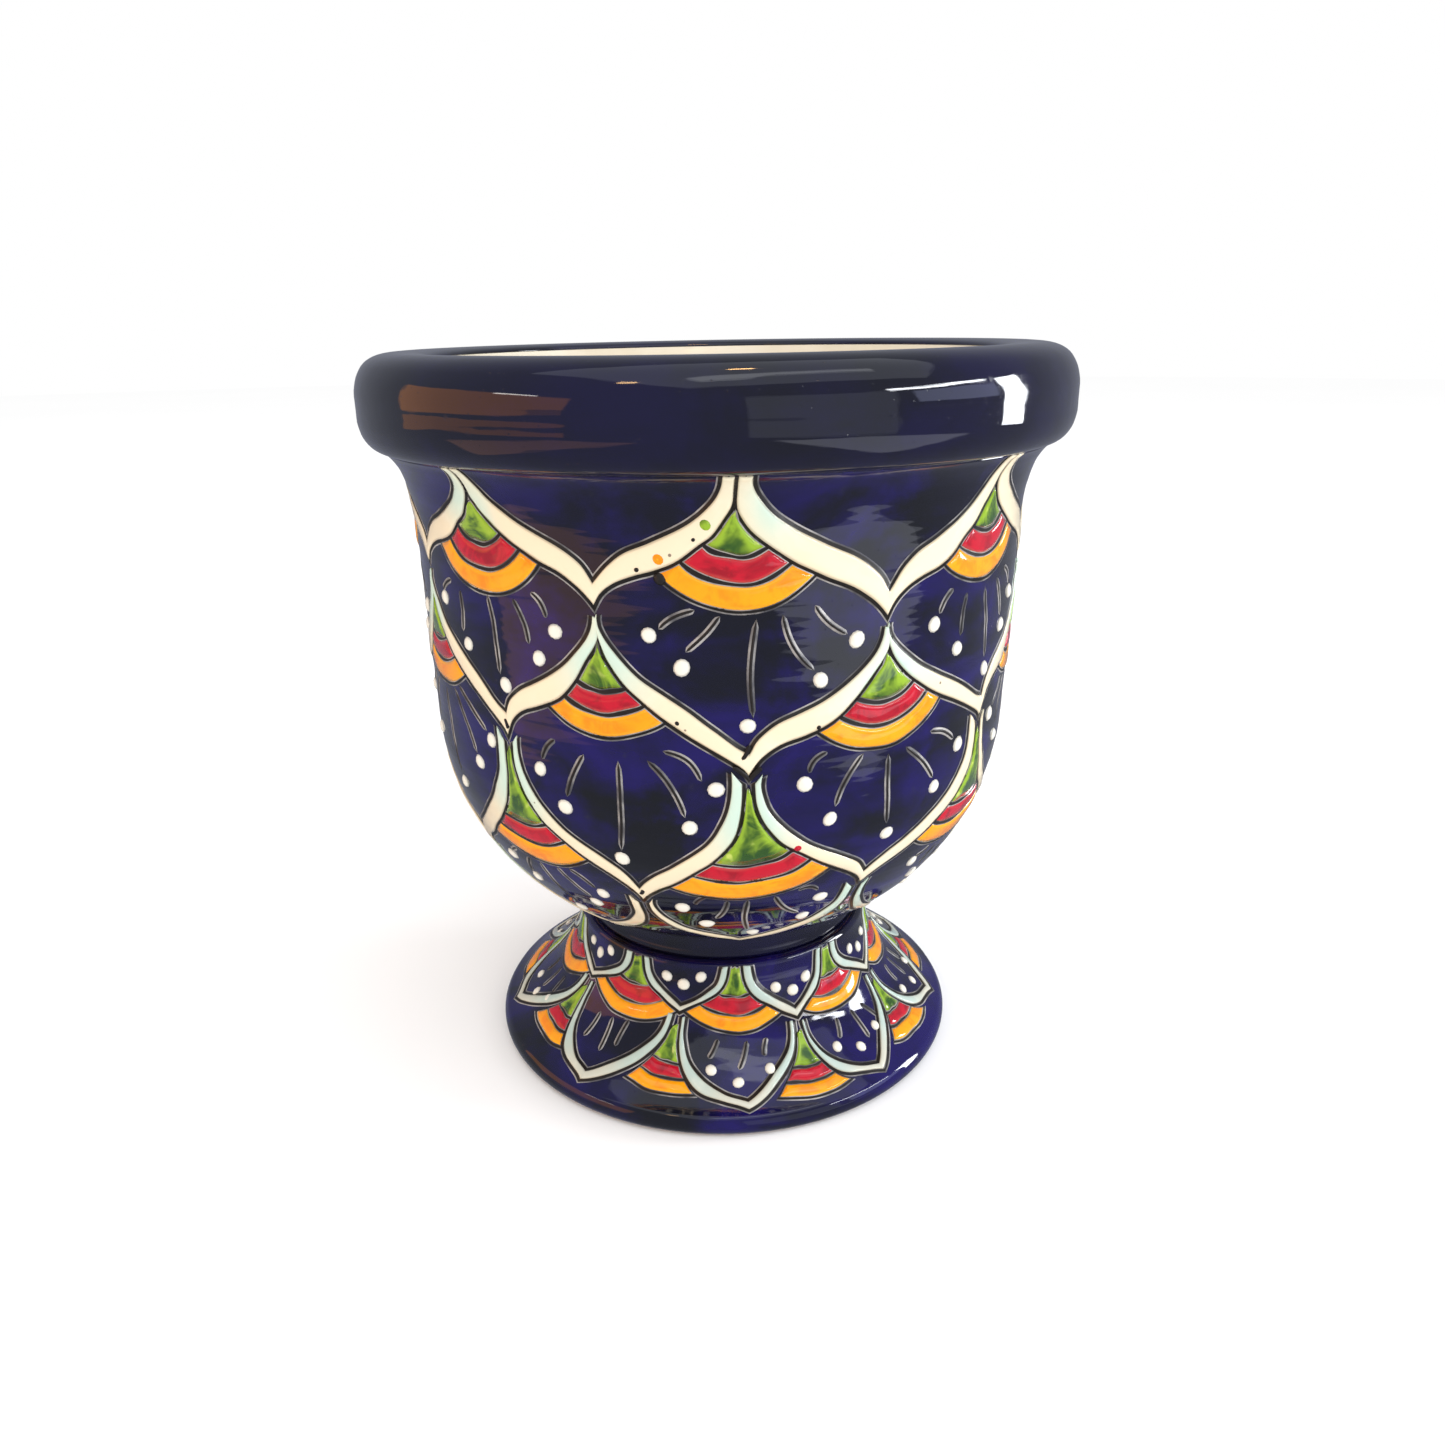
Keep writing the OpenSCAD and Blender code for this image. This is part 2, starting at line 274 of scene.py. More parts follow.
class Finish:
    """One material under construction."""

    def __init__(self, name):
        self.material = bpy.data.materials.new(name)
        self.material.use_nodes = True
        self.tree = self.material.node_tree
        self.shader = self.tree.nodes["Principled BSDF"]

    def node(self, kind, settings=None, values=None, out=0):
        """Adds a node: its settings first, then the values or links of its sockets."""
        made = self.tree.nodes.new(kind)
        for key, value in (settings or {}).items():
            setattr(made, key, value)
        pairs = values.items() if isinstance(values, dict) else enumerate(values or [])
        for key, value in pairs:
            self.put(made.inputs[key], value)
        return Value(self, made.outputs[out])

    def put(self, socket, value):
        if isinstance(value, Value):
            self.tree.links.new(value.socket, socket)
        elif socket.type == "RGBA":
            socket.default_value = (*value, 1)
        else:
            socket.default_value = value

    def set(self, **sockets):
        for key, value in sockets.items():
            self.put(self.shader.inputs[key.replace("_", " ")], value)
        return self

    def place(self):
        return self.node("ShaderNodeTexCoord", out="Object")

    def uv(self):
        return self.node("ShaderNodeTexCoord", out="UV")

    def parts(self, vector):
        split = self.node("ShaderNodeSeparateXYZ", None, [vector])
        return [Value(self, s) for s in split.socket.node.outputs]

    def stretched(self, vector, scale):
        return self.node("ShaderNodeMapping", None, {"Vector": vector, "Scale": scale})

    def noise(self, vector, scale, detail=3.0, rough=0.55, warp=0.0):
        values = {"Vector": vector, "Scale": scale, "Detail": detail, "Roughness": rough}
        values["Distortion"] = warp
        return self.node("ShaderNodeTexNoise", None, values, out="Fac")

    def cells(self, vector, scale):
        values = {"Vector": vector, "Scale": scale}
        return self.node("ShaderNodeTexVoronoi", None, values, out="Distance")

    def blend(self, factor, a, b):
        settings = {"data_type": "RGBA", "blend_type": "MIX", "clamp_factor": True}
        values = {MIX_FACTOR: factor, MIX_A: a, MIX_B: b}
        return self.node("ShaderNodeMix", settings, values, out=MIX_OUT)

    def bump(self, height, depth, strength=1.0):
        values = {"Height": height, "Distance": depth, "Strength": strength}
        return self.node("ShaderNodeBump", None, values)


def gloss_bump(finish, place, depth=0.00012):
    """The slow ripple that every fired glaze has, with a few pinholes."""
    ripple = finish.noise(place, 55, 2, 0.5)
    pits = 1 - finish.cells(place, 330).steps(0.0, 0.10)
    return finish.bump(ripple - pits * 0.25, depth)


def cobalt_glaze(name, patchy, unrest=1.0, ringed=0.16):
    """Deep blue over near black, with the throwing rings and slow swells of a thrown pot."""
    f = Finish(name)
    place = f.place()
    z = f.parts(place)[2]
    clouds = f.noise(place, 26, 4, 0.6, 0.6)
    drift = f.noise(f.stretched(place, (18, 18, 60)), 1.0, 3, 0.6, 0.4)
    blue = (clouds * 0.6 + drift * 0.4).steps(0.42, 0.64)
    depth = f.noise(place, 9, 2, 0.5).steps(0.4, 0.6)
    deep = f.blend(depth, (0.0035, 0.0038, 0.006), (0.003, 0.003, 0.012))
    colour = f.blend(blue * patchy, deep, (0.010, 0.005, 0.10))
    worn = f.noise(place, 210, 2, 0.5).steps(0.66, 0.8)
    colour = f.blend(worn * 0.2, colour, (0.02, 0.02, 0.045))
    rings = (z * 900 + clouds * 5).wave() * 0.5 + (z * 2300 + drift * 6).wave() * 0.25
    ripple = f.noise(place, 48, 2, 0.5)
    swell = f.noise(f.stretched(place, (14, 14, 90)), 1.0, 2, 0.5)
    pits = 1 - f.cells(place, 300).steps(0.0, 0.09)
    height = rings * ringed + ripple * 0.5 + swell * 0.9 - pits * 0.3
    rough = 0.05 + clouds.steps(0.5, 0.8) * 0.05 + worn * 0.2
    f.set(Base_Color=colour, Roughness=rough, IOR=1.55, Coat_Weight=0.6, Coat_Roughness=0.03)
    f.set(Normal=f.bump(height, 0.0003 * unrest, 0.9))
    return f.material


def line_black():
    """The liner's black, matter than the glazes."""
    f = Finish("manganese_line")
    place = f.place()
    grain = f.noise(place, 420, 3, 0.6)
    colour = f.blend(grain, (0.006, 0.006, 0.006), (0.028, 0.022, 0.018))
    f.set(Base_Color=colour, Roughness=0.2 + grain * 0.25, IOR=1.5)
    f.set(Normal=f.bump(grain, 0.0001))
    return f.material


def pale_line_edge_and_highlight():
    """The pale edge that the liner leaves: partly bare thinned glaze, partly a painted highlight along the
    line.
    """
    f = Finish("bare_line_edge_and_painted_highlight")
    place = f.place()
    grain = f.noise(place, 260, 4, 0.65)
    thin = f.noise(place, 60, 3, 0.6).steps(0.35, 0.62)
    colour = f.blend(thin, (0.07, 0.07, 0.08), (0.42, 0.40, 0.38))
    colour = f.blend(grain.steps(0.45, 0.7) * 0.5, colour, (0.10, 0.09, 0.09))
    f.set(Base_Color=colour, Roughness=0.25 + grain * 0.3, IOR=1.5)
    f.set(Normal=f.bump(grain, 0.00008))
    return f.material


def ribbon_white(name, mint, body=(0.84, 0.73, 0.52), minty=(0.58, 0.73, 0.62)):
    """Tin white, a little minty where copper green ran into it beside the fans."""
    f = Finish(name)
    place = f.place()
    u, v = f.parts(f.uv())[:2]
    tint = f.noise(place, 13, 2, 0.5, 0.3).steps(0.54 - mint, 0.68 - mint)
    beside = ((u - 0.5).size() * 2).steps(0.60 - mint, 0.95 - mint)
    streak = f.noise(place, 70, 4, 0.6, 0.8)
    colour = f.blend(tint * beside, body, minty)
    colour = f.blend(streak.steps(0.5, 0.75) * 0.3, colour, (0.88, 0.83, 0.68))
    edge = ((v - 0.5).size() * 2).steps(0.78, 1.0)
    colour = f.blend(edge * 0.6, colour, (0.40, 0.33, 0.22))
    specks = 1 - f.cells(place, 95).steps(0.035, 0.06)
    colour = f.blend(specks * 0.8, colour, (0.10, 0.06, 0.04))
    f.set(Base_Color=colour, Roughness=0.08 + streak * 0.08, IOR=1.5)
    f.set(Coat_Weight=0.5, Coat_Roughness=0.04, Normal=gloss_bump(f, place))
    return f.material


def leaf_green():
    """Copper green, darkest where it pooled in the middle of the leaf."""
    f = Finish("copper_green_fan")
    place = f.place()
    u, v = f.parts(f.uv())[:2]
    pool = f.noise(place, 95, 3, 0.6, 1.2)
    middle = 1 - ((u - 0.5).size() * 2).steps(0.35, 1.0)
    depth = (middle * 0.5 + (pool - 0.5) * 1.6 + v * 0.35).steps(0.30, 0.95)
    colour = f.blend(depth, (0.28, 0.45, 0.025), (0.022, 0.075, 0.007))
    pale = f.noise(place, 180, 2, 0.5).steps(0.62, 0.72)
    colour = f.blend(pale * (1 - depth) * 0.7, colour, (0.62, 0.70, 0.16))
    f.set(Base_Color=colour, Roughness=0.07, IOR=1.55, Coat_Weight=1.0, Coat_Roughness=0.02)
    f.set(Normal=gloss_bump(f, place, 0.0002))
    return f.material


def band_colour(name, body, thin, dark):
    """A trailed enamel band: full in the middle, thin at its edges, darker where it pooled."""
    f = Finish(name)
    place = f.place()
    v = f.parts(f.uv())[1]
    flow = f.noise(place, 120, 3, 0.6, 0.8)
    edge = ((v - 0.5).size() * 2 + (flow - 0.5) * 0.5).steps(0.62, 1.0)
    colour = f.blend(flow.steps(0.42, 0.68), body, dark)
    colour = f.blend(edge * 0.75, colour, thin)
    f.set(Base_Color=colour, Roughness=0.09 + flow * 0.05, IOR=1.5)
    f.set(Coat_Weight=0.8, Coat_Roughness=0.03, Normal=gloss_bump(f, place))
    return f.material


def dot_white():
    """Thick white slip."""
    f = Finish("white_slip_dot")
    place = f.place()
    flow = f.noise(place, 240, 3, 0.6)
    colour = f.blend(flow, (0.90, 0.87, 0.78), (0.74, 0.71, 0.60))
    f.set(Base_Color=colour, Roughness=0.12 + flow * 0.08, IOR=1.5)
    f.set(Coat_Weight=0.5, Coat_Roughness=0.05, Normal=gloss_bump(f, place))
    return f.material


def cream_lining():
    """The inside glaze, a little stained and specked."""
    f = Finish("cream_lining")
    place = f.place()
    z = f.parts(place)[2]
    stain = f.noise(place, 14, 4, 0.6, 0.5)
    colour = f.blend(stain.steps(0.4, 0.7), (0.80, 0.74, 0.60), (0.70, 0.62, 0.46))
    specks = 1 - f.cells(place, 120).steps(0.03, 0.06)
    colour = f.blend(specks * 0.7, colour, (0.14, 0.08, 0.05))
    rings = (z * 820 + stain * 9).wave()
    ripple = f.noise(place, 60, 2, 0.5)
    f.set(Base_Color=colour, Roughness=0.14 + stain * 0.1, IOR=1.5)
    f.set(Coat_Weight=0.4, Coat_Roughness=0.06, Normal=f.bump(rings * 0.2 + ripple, 0.00035))
    return f.material


def bare_clay():
    """Unglazed terracotta: grainy, cloudy and pitted."""
    f = Finish("bare_terracotta")
    place = f.place()
    grain = f.noise(place, 320, 5, 0.7)
    cloud = f.noise(place, 22, 3, 0.6)
    colour = f.blend(cloud, (0.46, 0.21, 0.11), (0.62, 0.33, 0.19))
    colour = f.blend(grain.steps(0.55, 0.75) * 0.5, colour, (0.70, 0.46, 0.30))
    pits = 1 - f.cells(place, 260).steps(0.05, 0.2)
    # The pits are painted darker: painted shade inside them.
    colour = f.blend(pits * 0.5, colour, (0.25, 0.11, 0.06))
    f.set(Base_Color=colour, Roughness=0.78 + grain * 0.15)
    f.set(Normal=f.bump(grain - pits, 0.0004))
    return f.material


BOWL_COBALT = cobalt_glaze("bowl_cobalt", 0.9)
PLAIN_COBALT = cobalt_glaze("plain_cobalt", 0.15, 1.9, 0.05)
BLACK = line_black()
EDGE = pale_line_edge_and_highlight()
WHITE = ribbon_white("tin_white_ribbon", 0.16)
# The foot's ribbons take a darker, greyer copy of the tin white: painted shade for the shade the foot stands
# in under the bowl.
SHADED_FOOT_WHITE = ribbon_white("tin_white_foot_ribbon_painted_shade", 0.45, (0.60, 0.60, 0.50), (0.48, 0.59, 0.53))
GREEN = leaf_green()
RED = band_colour("crimson_band", (0.52, 0.006, 0.022), (0.56, 0.05, 0.05), (0.30, 0.004, 0.014))
ORANGE = band_colour("orange_band", (0.98, 0.36, 0.001), (0.96, 0.46, 0.01), (0.92, 0.25, 0.001))
DOT = dot_white()
LINING = cream_lining()
CLAY_FINISH = bare_clay()

# ---------------------------------------------------------------------------
# Pieces
# ---------------------------------------------------------------------------


def finish_piece(name, bm, material, slot, nodes=()):
    """Turns a bmesh into a piece that rides on the pot and stands for its CAD nodes."""
    mesh = bpy.data.meshes.new(name)
    bm.to_mesh(mesh)
    bm.free()
    mesh.materials.append(material)
    for face in mesh.polygons:
        face.use_smooth = True
    piece = bpy.data.objects.new(name, mesh)
    bpy.context.scene.collection.objects.link(piece)
    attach(piece, "root")
    if nodes:
        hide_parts(*nodes)
    return piece


def turned(name, outline, material, slot, nodes, steps=TURN_STEPS):
    """A closed outline of (radius, height) turned once round the pot's axis."""
    bm = bmesh.new()
    verts = [bm.verts.new((0, -r, z)) for r, z in outline]
    edges = [bm.edges.new((a, b)) for a, b in zip(verts, verts[1:] + verts[:1])]
    once = {"cent": (0, 0, 0), "axis": (0, 0, 1), "angle": math.tau, "steps": steps}
    bmesh.ops.spin(bm, geom=verts + edges, use_merge=True, **once)
    bmesh.ops.remove_doubles(bm, verts=bm.verts, dist=0.001)
    for v in bm.verts:
        v.co = settle(v.co) * MM
    bmesh.ops.recalc_face_normals(bm, faces=bm.faces)
    return finish_piece(name, bm, material, slot, nodes)


def coat_outline(line):
    """A glaze coat's closed section: its surface, and back along the clay."""
    return line(0, 1.0) + line(COAT, 0.25)[::-1]


def build_coats():
    """The smooth glazes: cobalt outside and cream inside."""
    for name, line, material, node in (
        ("bowl_ground", bowl_line, BOWL_COBALT, "bowl_glaze"),
        ("collar_glaze", collar_line, PLAIN_COBALT, "rim_glaze"),
        ("foot_ground", foot_line, BOWL_COBALT, "foot_glaze"),
    ):
        turned(name, coat_outline(line), material, "cobalt_glaze", [node])
    neck = [(NECK_R - COAT, FOOT_TOP), (NECK_R, FOOT_TOP), (NECK_R, FOOT_TOP + 1.5)]
    neck += bend((NECK_R, FOOT_TOP + 2), (NECK_R - 1.1, FOOT_TOP + 5), (NECK_R, NECK_TOP - 0.1), 8)
    neck += [(NECK_R - COAT - 0.8, NECK_TOP)]
    turned("neck_band_glaze", neck, PLAIN_COBALT, "cobalt_glaze", ["neck_glaze"])
    lining = [(MOUTH_R + COAT, TOP_Z - LIP_DEPTH)] + inside_line(COAT, 16)
    lining += [(DRAIN_R + 1.5, FLOOR_Z - COAT), (DRAIN_R + 1.5, FLOOR_Z)]
    lining += inside_line(0, 40)[::-1] + [(MOUTH_R, TOP_Z - LIP_DEPTH)]
    turned("bowl_inner_glaze", lining, LINING, "cream_lining", ["bowl_lining"])


def build_clay():
    """The four thrown pieces under the glaze."""
    under = COAT + GAP
    bowl = bowl_line(under, 0.5)
    bowl += [(DRAIN_R + 1, NECK_TOP), (DRAIN_R, NECK_TOP + 1)]
    bowl += [(DRAIN_R, FLOOR_Z - 1.5), (DRAIN_R + 1, FLOOR_Z - COAT - GAP)]
    bowl += inside_line(under, 24)[::-1]
    collar = collar_line(under, 0.5) + [(MOUTH_R + COAT + GAP, SEAM_Z)]
    bore = NECK_R - CLAY - 2
    skin = NECK_R - COAT - 1.2
    ring = [(skin, FOOT_TOP), (skin, NECK_TOP), (bore, NECK_TOP), (bore, FOOT_TOP)]
    foot = foot_line(under, 0.6) + arc(FOOT_R - 6.4, 1.2, 1.2, -20, -90, 4)
    stand = FOOT_R - 13.5
    foot += arc(stand + 1.0, 1.0, 1.0, -90, -180, 4)
    foot += bend((stand - 1.5, 2.5), (68, 15), (bore + 3, 32), 14)
    foot += [(bore + 0.6, 38), (bore, 42), (bore, FOOT_TOP)]
    for name, outline, node in (
        ("bowl_clay", bowl, "bowl"),
        ("collar_clay", collar, "rim_collar"),
        ("neck_clay", ring, "neck_ring"),
        ("foot_clay", foot, "pedestal_foot"),
    ):
        turned(name, outline, CLAY_FINISH, "terracotta", [node], CLAY_STEPS)


# ---------------------------------------------------------------------------
# The pattern, laid out flat as (degrees round the pot, millimetres down the wall)
# ---------------------------------------------------------------------------

# Where the ribbons part under the collar, and the tips of each row of scales below
BOWL_TOP = [(2.5, 0), (49.5, 0), (95, 0), (140, 0), (184, 0), (229, 0), (275, 0), (318.5, 0)]
BOWL_ROW_1 = [(27.4, 48), (73.5, 42), (118, 45), (163, 46), (208, 44), (253, 43), (298.5, 38), (340.5, 42)]
BOWL_ROW_2 = [(54, 91), (97, 92), (141, 93), (185.5, 92), (231, 93), (277, 92), (321, 89), (364.4, 95)]
BOWL_ROW_3 = [
    (75, 145), (119, 146), (163, 144), (208, 146), (254, 145), (299, 146), (344, 146.5), (388.3, 144),
]
BOWL_ROW_4 = [
    (97, 191), (141, 190), (186, 191), (231, 191), (276, 190), (321.5, 191), (365, 190), (411, 191),
]
FOOT_TOP_ROW = [(4.5, 0), (41.5, 0), (80, 0), (120, 0), (161, 0), (202, 0), (243, 0), (285, 0), (327, 0)]
FOOT_ROW_1 = [
    (24.6, 23), (62, 21), (100, 20.5), (140, 20), (181, 21), (222, 20.5), (264, 20), (305.5, 18), (345, 18.5),
]
FOOT_ROW_2 = [
    (42, 53), (81, 52), (120, 53), (160, 52), (201, 53), (243, 52), (280.5, 52), (322.5, 53), (365.5, 53),
]
BOWL_ROWS = [BOWL_TOP, BOWL_ROW_1, BOWL_ROW_2, BOWL_ROW_3, BOWL_ROW_4]
FOOT_ROWS = [FOOT_TOP_ROW, FOOT_ROW_1, FOOT_ROW_2]

# Widths of the black line and of its pale edge, and how high each of the flat layers stands
LINE = 1.15
EDGE_W = 0.45
LINE_H = 0.12
EDGE_H = 0.06
# Points along each side of a scale
SIDE_STEPS = 44


def mix(a, b, t):
    """The place a share t of the way from a to b."""
    return tuple(x + (y - x) * t for x, y in zip(a, b))


def waver(angle, s, size=0.35):
    """The shake of the hand: a small smooth shift of every place in the pattern."""
    p = Vector((math.sin(math.radians(angle)) * 9, math.cos(math.radians(angle)) * 9, s * 0.09))
    return noise.noise(p) * size * 0.55, noise.noise(p + Vector((31, 7, 3))) * size


def offset(line, wall, distance):
    """The line moved sideways by a distance in millimetres, to its left, with mitred corners."""
    out = []
    for i, (a, s) in enumerate(line):
        scale = wall.per_degree(s)
        normals = []
        for j, k in ((i - 1, i), (i, i + 1)):
            if j >= 0 and k < len(line):
                dx, ds = (line[k][0] - line[j][0]) * scale, line[k][1] - line[j][1]
                if math.hypot(dx, ds) > 1e-9:
                    normals.append(unit((ds, -dx)))
        first, last = normals[0], normals[-1]
        n = unit((first[0] + last[0], first[1] + last[1]))
        reach = distance * min(2.0, 1 / max(0.3, n[0] * first[0] + n[1] * first[1]))
        out.append((a + n[0] * reach / scale, s + n[1] * reach))
    return out


def unit(v):
    size = math.hypot(*v) or 1.0
    return (v[0] / size, v[1] / size)


def neighbours(rows, n, i):
    """A scale's upper corner, and the tips that its two sides run down to, left and right."""
    upper, lower = rows[n], rows[n + 1]
    left = lower[i - 1] if i else (lower[-1][0] - 360, lower[-1][1])
    return upper[i], left, lower[i]


def even(line, wall, count):
    """The same line with its points at even distances."""
    steps = [0.0]
    for a, b in zip(line, line[1:]):
        steps.append(steps[-1] + math.hypot((b[0] - a[0]) * wall.per_degree(a[1]), b[1] - a[1]))
    out, k = [], 0
    for n in range(count + 1):
        at = steps[-1] * n / count
        while k < len(line) - 2 and steps[k + 1] < at:
            k += 1
        gap = max(1e-6, steps[k + 1] - steps[k])
        out.append(mix(line[k], line[k + 1], min(1.0, (at - steps[k]) / gap)))
    return out


def smooth(points, steps=6):
    """A rounded line through the points."""
    out = []
    ends = [points[0], *points, points[-1]]
    for four in zip(ends, ends[1:], ends[2:], ends[3:]):
        for i in range(steps):
            t = i / steps
            place = []
            for a, b, c, d in zip(*four):
                bent = (2 * a - 5 * b + 4 * c - d) * t * t + (3 * b - a - 3 * c + d) * t**3
                place.append(b + 0.5 * ((c - a) * t + bent))
            out.append(tuple(place))
    return out + [points[-1]]


def side(wall, corner, tip, shares):
    """An edge of a ribbon, from the corner where it starts down to its tip."""
    along, down = tip[0] - corner[0], tip[1] - corner[1]
    parts = [(x / 100, y / 100) for x, y in shares]
    line = [(corner[0] + x * along, corner[1] + y * down) for x, y in smooth(parts)]
    return even(line, wall, SIDE_STEPS)


# How the brush went: for each row, the ribbon's edge by the fan and its edge by the dark field, as
# hundredths of the way round and of the way down to the tip. First for the arms that run to the
# left, then for those that run to the right.
TOP_ARMS = (
    (
        [(0, 0), (0, 13), (1, 26), (7, 37), (15, 48), (25, 55), (39, 66), (55, 73), (70, 77),
         (83, 82), (94, 90), (100, 100)],
        [(10, 0), (11, 11), (16, 22), (26, 33), (39, 42), (59, 52), (77, 60), (90, 71), (100, 84)],
    ),
    (
        [(0, 0), (0, 11), (0, 24), (4, 33), (10, 41), (19, 49), (29, 56), (41, 63), (55, 70),
         (72, 77), (86, 86), (94, 93), (100, 100)],
        [(10, 0), (11, 9), (15, 18), (23, 28), (37, 38), (55, 47), (76, 56), (92, 66), (100, 76)],
    ),
)
UPPER_ARMS = (
    (
        [(-3, 6), (-4, 16), (0, 25), (10, 37), (21, 50), (33, 61), (43, 67), (60, 73), (77, 78),
         (90, 86), (97, 95), (100, 100)],
        [(3, 5), (5, 13), (12, 23), (27, 36), (45, 47), (64, 55), (81, 62), (94, 71), (100, 80)],
    ),
    (
        [(-1, 6), (-1, 12), (2, 22), (7, 32), (18, 45), (32, 57), (48, 67), (66, 77), (82, 86),
         (95, 94), (100, 100)],
        [(3, 3), (3, 9), (7, 17), (16, 27), (30, 39), (46, 49), (62, 58), (78, 69), (92, 79),
         (100, 83)],
    ),
)
LOWER_ARMS = (
    (
        [(4, 3), (4, 15), (5, 25), (9, 37), (16, 47), (29, 58), (45, 68), (64, 79), (80, 86),
         (92, 93), (100, 100)],
        [(15, -5), (15, 8), (17, 20), (23, 30), (33, 42), (50, 54), (68, 65), (83, 73), (94, 81),
         (100, 87)],
    ),
    (
        [(3, 3), (4, 16), (8, 27), (14, 37), (24, 48), (38, 57), (54, 67), (71, 76), (85, 84),
         (95, 92), (100, 100)],
        [(11, -3), (10, 5), (13, 16), (18, 25), (28, 36), (42, 47), (58, 56), (79, 66), (92, 74),
         (100, 84)],
    ),
)
FOOT_TOP_ARMS = (
    (
        [(12, 0), (16, 25), (24, 44), (37, 60), (53, 71), (69, 80), (85, 90), (100, 100)],
        [(30, 0), (34, 20), (41, 38), (56, 52), (71, 64), (85, 74), (100, 82)],
    ),
    (
        [(10, 0), (13, 24), (22, 45), (38, 62), (57, 73), (75, 85), (90, 94), (100, 100)],
        [(29, 0), (34, 25), (46, 42), (63, 55), (81, 67), (93, 76), (100, 82)],
    ),
)
FOOT_LOWER_ARMS = (
    (
        [(8, 2), (11, 15), (16, 28), (26, 43), (41, 59), (57, 72), (73, 84), (88, 94), (100, 100)],
        [(19, 1), (23, 16), (31, 30), (45, 44), (62, 58), (77, 70), (91, 81), (100, 87)],
    ),
    (
        [(3, 4), (3, 20), (5, 35), (11, 50), (21, 65), (33, 77), (49, 85), (69, 90), (88, 95),
         (100, 100)],
        [(13, 3), (13, 20), (18, 35), (26, 49), (39, 61), (56, 72), (73, 80), (90, 85), (100, 88)],
    ),
)
BOWL_SIDES = [TOP_ARMS, UPPER_ARMS, LOWER_ARMS, LOWER_ARMS]
FOOT_SIDES = [FOOT_TOP_ARMS, FOOT_LOWER_ARMS]


class Relief:
    """Closed skins of glaze laid on a wall, all in one mesh."""

    def __init__(self, wall):
        self.wall = wall
        self.bm = bmesh.new()
        self.flat = self.bm.verts.layers.float_vector.new("flat")

    def put(self, vert, place, sink=None):
        """Moves a flat point to its place on the wall, or under it."""
        angle, s, h = place(*vert[self.flat].xy)
        shift = waver(angle, s)
        vert.co = self.wall.point(angle + shift[0], s + shift[1], h if sink is None else sink)

    def grid(self, columns, rows):
        """A flat sheet that remembers where each point was."""
        verts = bmesh.ops.create_grid(self.bm, x_segments=columns, y_segments=rows, size=0.5)["verts"]
        for v in verts:
            v[self.flat] = (v.co.x + 0.5, v.co.y + 0.5, 0)
        return verts

    def skin(self, place, columns, rows, sink=-0.25):
        """place(u, v) gives the angle, distance down and height of a point of the top."""
        verts = self.grid(columns, rows)
        faces = list({f for v in verts for f in v.link_faces})
        grown = bmesh.ops.extrude_face_region(self.bm, geom=faces, use_keep_orig=True)
        for v in verts:
            self.put(v, place, sink)
        for item in grown["geom"]:
            if isinstance(item, bmesh.types.BMVert):
                self.put(item, place)

    def bead(self, angle, s, width, height, seed):
        """A drop of thick slip: a low dome that leans a little."""
        verts = self.grid(12, 3)
        lean = noise.noise_vector(Vector((seed * 1.7, angle * 0.37, s * 0.11)))
        k = self.wall.per_degree(s)

        def place(u, v):
            turn = math.tau * u
            wobble = 1 + 0.10 * math.sin(turn + seed) + 0.05 * math.sin(2 * turn + seed * 2.3)
            r = width / 2 * v * wobble
            a = angle + (r * math.sin(turn) + lean.x * 0.7 * (1 - v)) / k
            down = r * math.cos(turn) + lean.y * 0.7 * (1 - v)
            return a, s + down, height * (1 - v**2.6) - 0.12 * v**6

        for v in verts:
            self.put(v, place)
        bmesh.ops.remove_doubles(self.bm, verts=verts, dist=1e-6)
        rim = [e for e in self.bm.edges if e.is_boundary]
        bmesh.ops.holes_fill(self.bm, edges=rim, sides=0)

    def done(self, name, material, slot, nodes=()):
        uv = self.bm.loops.layers.uv.new("UVMap")
        for face in self.bm.faces:
            for loop in face.loops:
                loop[uv].uv = loop.vert[self.flat].xy
        self.bm.verts.layers.float_vector.remove(self.flat)
        bmesh.ops.recalc_face_normals(self.bm, faces=self.bm.faces)
        return finish_piece(name, self.bm, material, slot, nodes)


def dome(v, edge, middle, fullness=0.55):
    """Height across a band of glaze, from its edge to its swollen middle."""
    across = max(0.0, 1 - (2 * v - 1) ** 2)
    return edge + (middle - edge) * across**fullness


def ribbon_edges(wall, rows, shapes, n, i):
    """The two edges of a scale's ribbon, from its left corner by its tip to its right corner."""
    upper, tip = rows[n], rows[n + 1][i]
    after = upper[i + 1] if i + 1 < len(upper) else (upper[0][0] + 360, upper[0][1])
    to_left, to_right = shapes[n]
    edges = []
    for which in (0, 1):
        arms = [side(wall, upper[i], tip, to_right[which]), side(wall, after, tip, to_left[which])]
        meet = (arms[0][-1][1] + arms[1][-1][1]) / 2
        for arm in arms:
            miss = meet - arm[-1][1]
            arm[:] = [(a, s + miss * (k / SIDE_STEPS) ** 4) for k, (a, s) in enumerate(arm)]
        edges.append(arms[0] + arms[1][-2::-1])
    loose = 0.45 * noise.noise(Vector((tip[0] * 0.3, n * 2.1, 0.7)))
    return edges[0], offset(edges[1], wall, loose)


def strip_place(near, far, height):
    """A strip between two lines: u runs along it, and v across it from the first to the second."""
    last = len(near) - 1

    def place(u, v):
        k = min(int(u * last + 1e-6), last - 1)
        f = u * last - k
        a, s = mix(mix(near[k], near[k + 1], f), mix(far[k], far[k + 1], f), v)
        return a, s, height(v)

    return place


